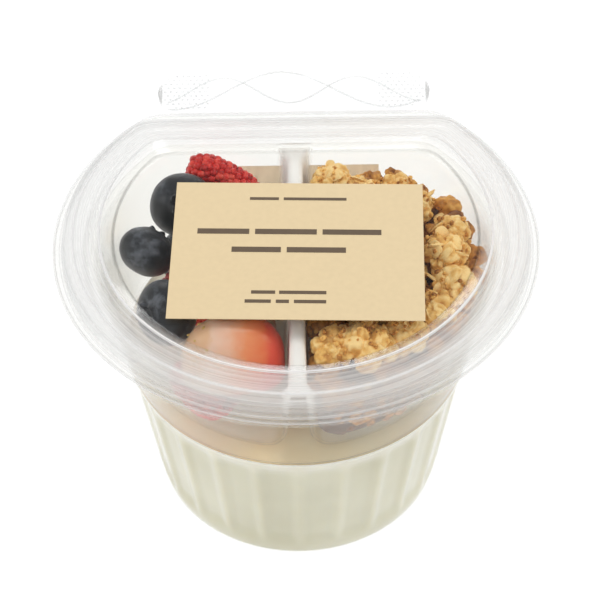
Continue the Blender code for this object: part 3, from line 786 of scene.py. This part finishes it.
def make_raspberry(number, centre, half_sizes, turns, material):
    """Rows of juicy drupelets on a blunt hollow cone."""
    rng = random.Random(40 + number)
    spin = Euler([math.radians(angle) for angle in turns]).to_matrix()
    outline = [(0, -1.0), (0.36, -0.93), (0.64, -0.68), (0.84, -0.32), (0.97, 0.05), (1, 0.40),
               (0.88, 0.74), (0.54, 0.96), (0.26, 0.80), (0, 0.35)]
    size = 1.0
    pile = Pile()
    core = [Vector((r * 0.78 * math.cos(a) * half_sizes[0], r * 0.78 * math.sin(a) * half_sizes[1], z * 0.85 * half_sizes[2]))
            for r, z in outline for a in (2 * math.pi * i / 16 for i in range(16))]
    pile.add([tuple(spin @ point + Vector(centre)) for point in core], loft_faces(16, len(outline)), 0.1)
    profile = smooth_profile(outline[:8], 8)
    lengths = [0]
    for (r0, z0), (r1, z1) in zip(profile, profile[1:]):
        lengths.append(lengths[-1] + math.hypot((r1 - r0) * half_sizes[0], (z1 - z0) * half_sizes[2]))
    rows = max(3, round(lengths[-1] / (size * 1.45)))
    for row in range(rows + 1):
        along = lengths[-1] * row / rows
        index = min(range(len(lengths)), key=lambda k: abs(lengths[k] - along))
        reach, height = profile[index]
        girth = 2 * math.pi * reach * (half_sizes[0] + half_sizes[1]) / 2
        count = max(1, round(girth / (size * 1.62)))
        for i in range(count):
            angle = 2 * math.pi * (i + 0.5 * (row % 2)) / count + rng.uniform(-0.12, 0.12)
            inward = 1 - 0.62 * size / max(half_sizes[0], 4)
            place = Vector((reach * inward * math.cos(angle) * half_sizes[0],
                            reach * inward * math.sin(angle) * half_sizes[1],
                            height * (1 - 0.8 * size / half_sizes[2]) * half_sizes[2]))
            grown = size * rng.uniform(0.86, 1.08)
            spot = spin @ place + Vector(centre)
            add_ball(pile, spot, (grown, grown, grown * 0.95), detail=3, rough=0.06, seed=rng.random(),
                     tone=rng.uniform(0.25, 0.7))
    pile.piece(f"raspberry_berry_{number}", material, [f"raspberry_{number}"])


def strawberry_swell(share):
    """How full a strawberry is at a share of its length from its hull end: blunt at both ends."""
    return (1 - abs(2 * share ** 1.05 - 1) ** 3) ** (1 / 2.2)


def make_strawberry(number, centre, sizes, turns, material):
    """Half a strawberry on its cut face."""
    length, width, height = sizes
    spin = Euler([math.radians(angle) for angle in turns]).to_matrix()
    rows, sides = 56, 56
    pile = Pile()
    points, tones = [], []
    for row in range(rows + 1):
        share = 0.015 + 0.97 * row / rows
        swell = strawberry_swell(share)
        for i in range(sides + 1):
            angle = math.pi * i / sides
            point = Vector(((share - 0.5) * length, 0.5 * width * swell * math.cos(angle), height * swell * math.sin(angle)))
            point *= 1 + 0.02 * noise.noise(point * 0.25 + Vector((number, 0, 0)))
            points.append(tuple(spin @ point + Vector(centre)))
            tones.append(share + 0.1 * (1 - math.sin(angle)))
    pile.add(points, loft_faces(sides + 1, rows + 1), tones)
    pile.piece(f"strawberry_half_{number}", material, [f"strawberry_{number}"])


def make_seeds(material):
    """Seeds on the first strawberry's hull end."""
    pile = Pile()
    centre, (length, width, height), turns = STRAWBERRIES[0]
    spin = Euler([math.radians(angle) for angle in turns]).to_matrix()
    for share, angle in ((0.10, 70), (0.16, 105), (0.20, 60), (0.24, 88), (0.14, 135), (0.26, 125), (0.30, 70), (0.22, 38)):
        swell = strawberry_swell(share)
        a = math.radians(angle)
        point = Vector(((share - 0.5) * length, 0.5 * width * swell * math.cos(a), height * swell * math.sin(a)))
        spot = spin @ (point * 1.0) + Vector(centre)
        add_ball(pile, spot, (0.5, 0.3, 0.16), (0, 0, 200 * share), detail=2, tone=0.6)
    pile.piece("strawberry_seeds", material)


def make_granola(core_material, materials):
    """A core in dark toasted colours, painted shade deep in the heap, under lumpy clusters, rolled oats and crumbs."""
    rng = random.Random(11)
    inset = THIN_SHEET + 0.7
    floor = TRAY_BOTTOM + inset
    heights = [floor, floor + 0.7, floor + POCKET_ROUNDING] + [floor + POCKET_ROUNDING + 1.2 * i for i in range(1, 11)]
    insets = [inset + POCKET_ROUNDING, inset + 0.5, inset] + [inset] * 10
    rings = [pocket_ring(z, a + 0.5) for z, a in zip(heights, insets)]
    top = rings[-1]
    middle = Vector((sum(p[0] for p in top) / len(top), sum(p[1] for p in top) / len(top), 0))
    for share in (0.96, 0.88, 0.78, 0.66, 0.54, 0.42, 0.3, 0.18, 0.06):
        ring = []
        for x, y, z in top:
            place = middle + (Vector((x, y, 0)) - middle) * share
            ring.append((place.x, place.y, GRANOLA_LEVEL - 1.5 + 1.2 * noise.noise(place * 0.3)))
        rings.append(ring)
    core = Pile()
    # The core's low tone adds to its painted shade.
    core.add([point for ring in rings for point in ring], loft_faces(len(top), len(rings)), 0.15)
    core.piece("granola_core", core_material, ["granola"])

    clusters = Pile()
    for x, y, peak, half_width in GRANOLA_CLUSTERS:
        height = 0.85 * half_width
        centre = Vector((x, y, peak - height))
        tone = rng.uniform(0.3, 0.62)
        for i in range(9):
            around = 2.4 * i + rng.uniform(-0.4, 0.4)
            lift = 1 - 0.13 * i - rng.uniform(0, 0.1)
            out = math.sqrt(max(0, 1 - lift ** 2))
            radius = half_width * rng.uniform(0.34, 0.52)
            spread = half_width - radius * 0.9
            place = centre + Vector((out * math.cos(around) * spread, out * math.sin(around) * spread, lift * (height - radius)))
            radii = [radius * rng.uniform(0.85, 1.2) for _ in range(3)]
            add_ball(clusters, place, radii, [rng.uniform(0, 360) for _ in range(3)], 4, 0.22, rng.uniform(0, 50),
                     tone + rng.uniform(-0.12, 0.12))
    clusters.piece("granola_clusters", materials[0])

    # The filling between the clusters and against the walls is toned low: painted shade in the gaps and deep in the
    # pocket.
    filling = Pile()
    flakes = Pile()
    crumbs = Pile()
    outline = pocket_ring(GRANOLA_LEVEL, inset)
    for _ in range(220):
        x, y = inside_point(rng, outline)
        radius = rng.uniform(1.3, 2.4)
        add_ball(filling, (x, y, GRANOLA_LEVEL + rng.uniform(-1.5, 0.8)), [radius * rng.uniform(0.8, 1.25) for _ in range(3)],
                 [rng.uniform(0, 360) for _ in range(3)], 3, 0.25, rng.uniform(0, 50), rng.uniform(0.05, 0.5))
    for height in (44.5, 46.5, 48.5, 50.5, 52.5, 54.5, 56.5):
        place = rng.randrange(3)
        while place < len(outline):
            radius = rng.uniform(1.1, 2.2)
            x, y, z = pocket_ring(height, inset + radius)[place]
            add_ball(filling, (x, y, z + rng.uniform(-0.7, 0.7)), [radius * rng.uniform(0.8, 1.1) for _ in range(3)],
                     [rng.uniform(0, 360) for _ in range(3)], 3, 0.16, rng.uniform(0, 50), rng.uniform(0.05, 0.45))
            place += rng.choice((3, 4, 5))
    filling.piece("granola_filling", materials[1])
    for _ in range(60):
        x, y = inside_point(rng, pocket_ring(GRANOLA_LEVEL, inset + 2))
        z = heap_height(x, y) + rng.uniform(-0.8, -0.1)
        size = rng.uniform(1.4, 2.2)
        add_ball(flakes, (x, y, z), (size, size * rng.uniform(0.6, 0.85), 0.42),
                 (rng.uniform(-60, 60), rng.uniform(-60, 60), rng.uniform(0, 360)), 3, 0.2, rng.uniform(0, 50),
                 rng.uniform(0.35, 0.85))
    flakes.piece("oat_flakes", materials[0])
    for _ in range(420):
        x, y = inside_point(rng, pocket_ring(GRANOLA_LEVEL, inset + 1))
        z = heap_height(x, y) + rng.uniform(-0.3, 0.2)
        size = rng.uniform(0.3, 0.75)
        add_ball(crumbs, (x, y, z), (size, size * 0.8, size * 0.7), [rng.uniform(0, 360) for _ in range(3)], 2, 0.3,
                 rng.uniform(0, 50), rng.uniform(0.2, 0.8))
    crumbs.piece("granola_crumbs", materials[1])


def heap_height(x, y):
    """Height of the granola's surface: its level, or the highest cluster there."""
    best = GRANOLA_LEVEL
    for cx, cy, peak, half_width in GRANOLA_CLUSTERS:
        away = ((x - cx) ** 2 + (y - cy) ** 2) / half_width ** 2
        if away < 1:
            height = 0.85 * half_width
            best = max(best, peak - height + height * math.sqrt(1 - away))
    return best


def inside_point(rng, outline):
    """A random point inside an outline."""
    xs, ys = [p[0] for p in outline], [p[1] for p in outline]
    flat = [(p[0], p[1]) for p in outline]
    while True:
        x, y = rng.uniform(min(xs), max(xs)), rng.uniform(min(ys), max(ys))
        hits = 0
        for (x0, y0), (x1, y1) in zip(flat, flat[1:] + flat[:1]):
            if (y0 > y) != (y1 > y) and x < (x1 - x0) * (y - y0) / (y1 - y0) + x0:
                hits += 1
        if hits % 2:
            return x, y


def make_print(material):
    """Plain bars where a label carries its lines of print: left, right, middle height and thickness on the label."""
    bars = [
        (15.4, 21.4, 34.3, 0.8), (22.4, 35.4, 34.3, 0.8),
        (5.0, 15.6, 24.6, 1.5), (16.8, 29.4, 24.6, 1.5), (30.6, 42.6, 24.6, 1.5),
        (12.2, 22.2, 19.4, 1.5), (23.4, 35.4, 19.4, 1.5),
        (16.6, 21.4, 7.4, 0.9), (22.2, 31.6, 7.4, 0.9),
        (15.4, 20.6, 4.9, 0.9), (21.6, 24.2, 4.9, 0.9), (25.2, 31.6, 4.9, 0.9),
    ]
    pile = Pile()
    turn = Matrix.Rotation(LABEL_TURN, 3, "Z")
    for left, right, middle, thickness in bars:
        corners = []
        for z in (0.0, 0.02):
            for x, y in ((left, middle - thickness / 2), (right, middle - thickness / 2),
                         (right, middle + thickness / 2), (left, middle + thickness / 2)):
                local = turn @ Vector((x - LABEL_LONG / 2, y - LABEL_SHORT / 2, 0.17 + z))
                corners.append(tuple(local + Vector((LABEL_CENTRE.x, LABEL_CENTRE.y, RIM_HEIGHT + PANEL_RISE + 0.3))))
        pile.add(corners, loft_faces(4, 2))
    pile.piece("label_print", material, smooth=False)


def make_sky():
    """An even white sky, which reflects only faintly so that clear sheets stay clear."""
    world = bpy.data.worlds.new("studio")
    bpy.context.scene.world = world
    world.use_nodes = True
    tree = world.node_tree
    path = tree.nodes.new("ShaderNodeLightPath")
    share = tree.nodes.new("ShaderNodeMapRange")
    share.inputs["To Min"].default_value = SKY_LIGHT
    share.inputs["To Max"].default_value = SKY_REFLECTION
    tree.links.new(path.outputs["Is Glossy Ray"], share.inputs["Value"])
    tree.links.new(share.outputs[0], tree.nodes["Background"].inputs["Strength"])
    tree.nodes["Background"].inputs["Color"].default_value = (1, 1, 1, 1)


def make_studio():
    """White floor, white sky, and soft boxes in front, above and behind."""
    mesh = bmesh.new()
    bmesh.ops.create_grid(mesh, x_segments=8, y_segments=8, size=2.5)
    data = bpy.data.meshes.new("floor")
    mesh.to_mesh(data)
    mesh.free()
    floor = bpy.data.objects.new("floor", data)
    floor.location.z = -0.0002
    bpy.context.scene.collection.objects.link(floor)
    s = Shader("floor_white")
    inputs = {"Base Color": (0.22, 0.22, 0.22, 1), "Roughness": 0.9, "Specular IOR Level": 0.0,
              "Emission Color": (1, 1, 1, 1), "Emission Strength": FLOOR_GLOW}
    data.materials.append(s.finish(s.add("BsdfPrincipled", inputs).outputs[0]))
    floor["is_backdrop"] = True
    make_sky()
    lights = (
        ("front_key", (-120, -560, 640), (0, -10, 45), 420, 300, 0.8),
        ("back_box", (0, 640, 260), (0, 0, 45), 520, 300, 1.6),
        ("left_box", (-620, -60, 380), (0, 0, 40), 300, 300, 1.4),
        ("right_box", (620, -20, 380), (0, 0, 40), 300, 300, 1.3),
        ("overhead", (60, 60, 700), (0, 0, 40), 240, 240, 1.0),
        ("spark", (-60, -360, 620), (0, -10, 45), 16, 16, 0.12),
    )
    for name, place, target, width, height, power in lights:
        light = bpy.data.lights.new(name, "AREA")
        light.shape = "RECTANGLE"
        light.size, light.size_y = width * MM, height * MM
        light.energy = power
        made = bpy.data.objects.new(name, light)
        made.location = Vector(place) * MM
        made.rotation_euler = (Vector(target) - Vector(place)).to_track_quat("-Z", "Y").to_euler()
        made.visible_camera = False
        bpy.context.scene.collection.objects.link(made)


def make_camera():
    tilt = math.radians(CAMERA_ELEVATION)
    place = CAMERA_TARGET + Vector((0, -math.cos(tilt), math.sin(tilt))) * CAMERA_DISTANCE
    camera = bpy.data.objects.new("camera", bpy.data.cameras.new("camera"))
    camera.data.lens = CAMERA_LENS
    camera.data.sensor_width = 36
    camera.data.shift_x = CAMERA_SHIFT
    camera.data.clip_start = 0.01
    look = (CAMERA_TARGET - place).to_track_quat("-Z", "Y").to_matrix().to_4x4()
    roll = Matrix.Rotation(math.radians(CAMERA_ROLL), 4, "Z")
    camera.matrix_world = Matrix.Translation(place * MM) @ look @ roll
    bpy.context.scene.collection.objects.link(camera)
    bpy.context.scene.camera = camera


def set_light_paths():
    """Many sheets lie behind each other, so rays may pass through many clear faces."""
    scene = bpy.context.scene
    scene.view_settings.view_transform = "Standard"
    scene.cycles.transparent_max_bounces = 48
    scene.cycles.max_bounces = 10


def build():
    plastic = clear_plastic("lid_clear", (0.976, 0.978, 0.974), (0.86, 0.86, 0.86), (0.74, 0.76, 0.77))
    cup_plastic = clear_plastic("cup_clear", (0.99, 0.99, 0.985), (0.95, 0.95, 0.93), (0.84, 0.85, 0.83), gloss=0.08)
    tray_plastic = clear_plastic("tray_clear", (0.985, 0.982, 0.97), (0.97, 0.95, 0.91), (0.80, 0.80, 0.78), streaks=0.0,
                                 milk_through=0.05)
    strip_plastic = clear_plastic("strip_clear", (0.989, 0.991, 0.991), (0.97, 0.98, 0.98), (0.90, 0.91, 0.92))
    line_plastic = clear_plastic("strip_weld", (0.998, 1.0, 1.0), (0.74, 0.75, 0.75), (0.8, 0.8, 0.8), base_haze=0.25)
    make_lid(plastic)
    make_cup(cup_plastic)
    make_tray(tray_plastic)
    make_strip(strip_plastic, line_plastic)
    make_yogurt(yogurt_body(), painted_shade_yogurt_top())
    labels = (("top_label", paper("label_tan", colour(214, 193, 154))),
              ("back_label", paper("label_back", colour(255, 244, 228), 0.72, (1, 1, 0.04), 0.12)))
    for node, sheet in labels:
        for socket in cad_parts[node].material_slots:
            socket.material = sheet
    make_print(plain("print_ink", colour(92, 74, 54), 0.6))
    skin, flesh, halves = blueberry_skin(), raspberry_flesh(), strawberry_flesh()
    for number, (centre, size, turns) in enumerate(BLUEBERRIES, start=1):
        make_blueberry(number, centre, size, turns, skin)
    for number, (centre, size, turns) in enumerate(RASPBERRIES, start=1):
        make_raspberry(number, centre, size, turns, flesh)
    for number, (centre, size, turns) in enumerate(STRAWBERRIES, start=1):
        make_strawberry(number, centre, size, turns, halves)
    make_seeds(plain("seed_yellow", colour(214, 178, 104), 0.5))
    golden = granola_toast("granola_golden", colour(186, 124, 54), colour(232, 182, 100), colour(250, 216, 148))
    toasted = granola_toast("granola_toasted", colour(122, 70, 30), colour(202, 138, 62), colour(236, 184, 100))
    # The core's dark toasted colours are painted shade.
    dark = granola_toast("granola_core_painted_shade", colour(84, 48, 24), colour(126, 78, 40), colour(160, 108, 60))
    make_granola(dark, (golden, toasted))
    make_studio()
    make_camera()
    set_light_paths()


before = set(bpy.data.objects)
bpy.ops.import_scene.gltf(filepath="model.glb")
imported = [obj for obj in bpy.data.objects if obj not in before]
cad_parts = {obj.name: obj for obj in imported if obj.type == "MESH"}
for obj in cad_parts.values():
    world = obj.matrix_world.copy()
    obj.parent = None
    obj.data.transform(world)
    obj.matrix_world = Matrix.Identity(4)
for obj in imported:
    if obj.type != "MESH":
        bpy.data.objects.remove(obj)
cad_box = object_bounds()
build()
boxes = {"cad": cad_box, "visual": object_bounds()}
{key: [[float(value) for value in corner] for corner in box] for key, box in boxes.items()}
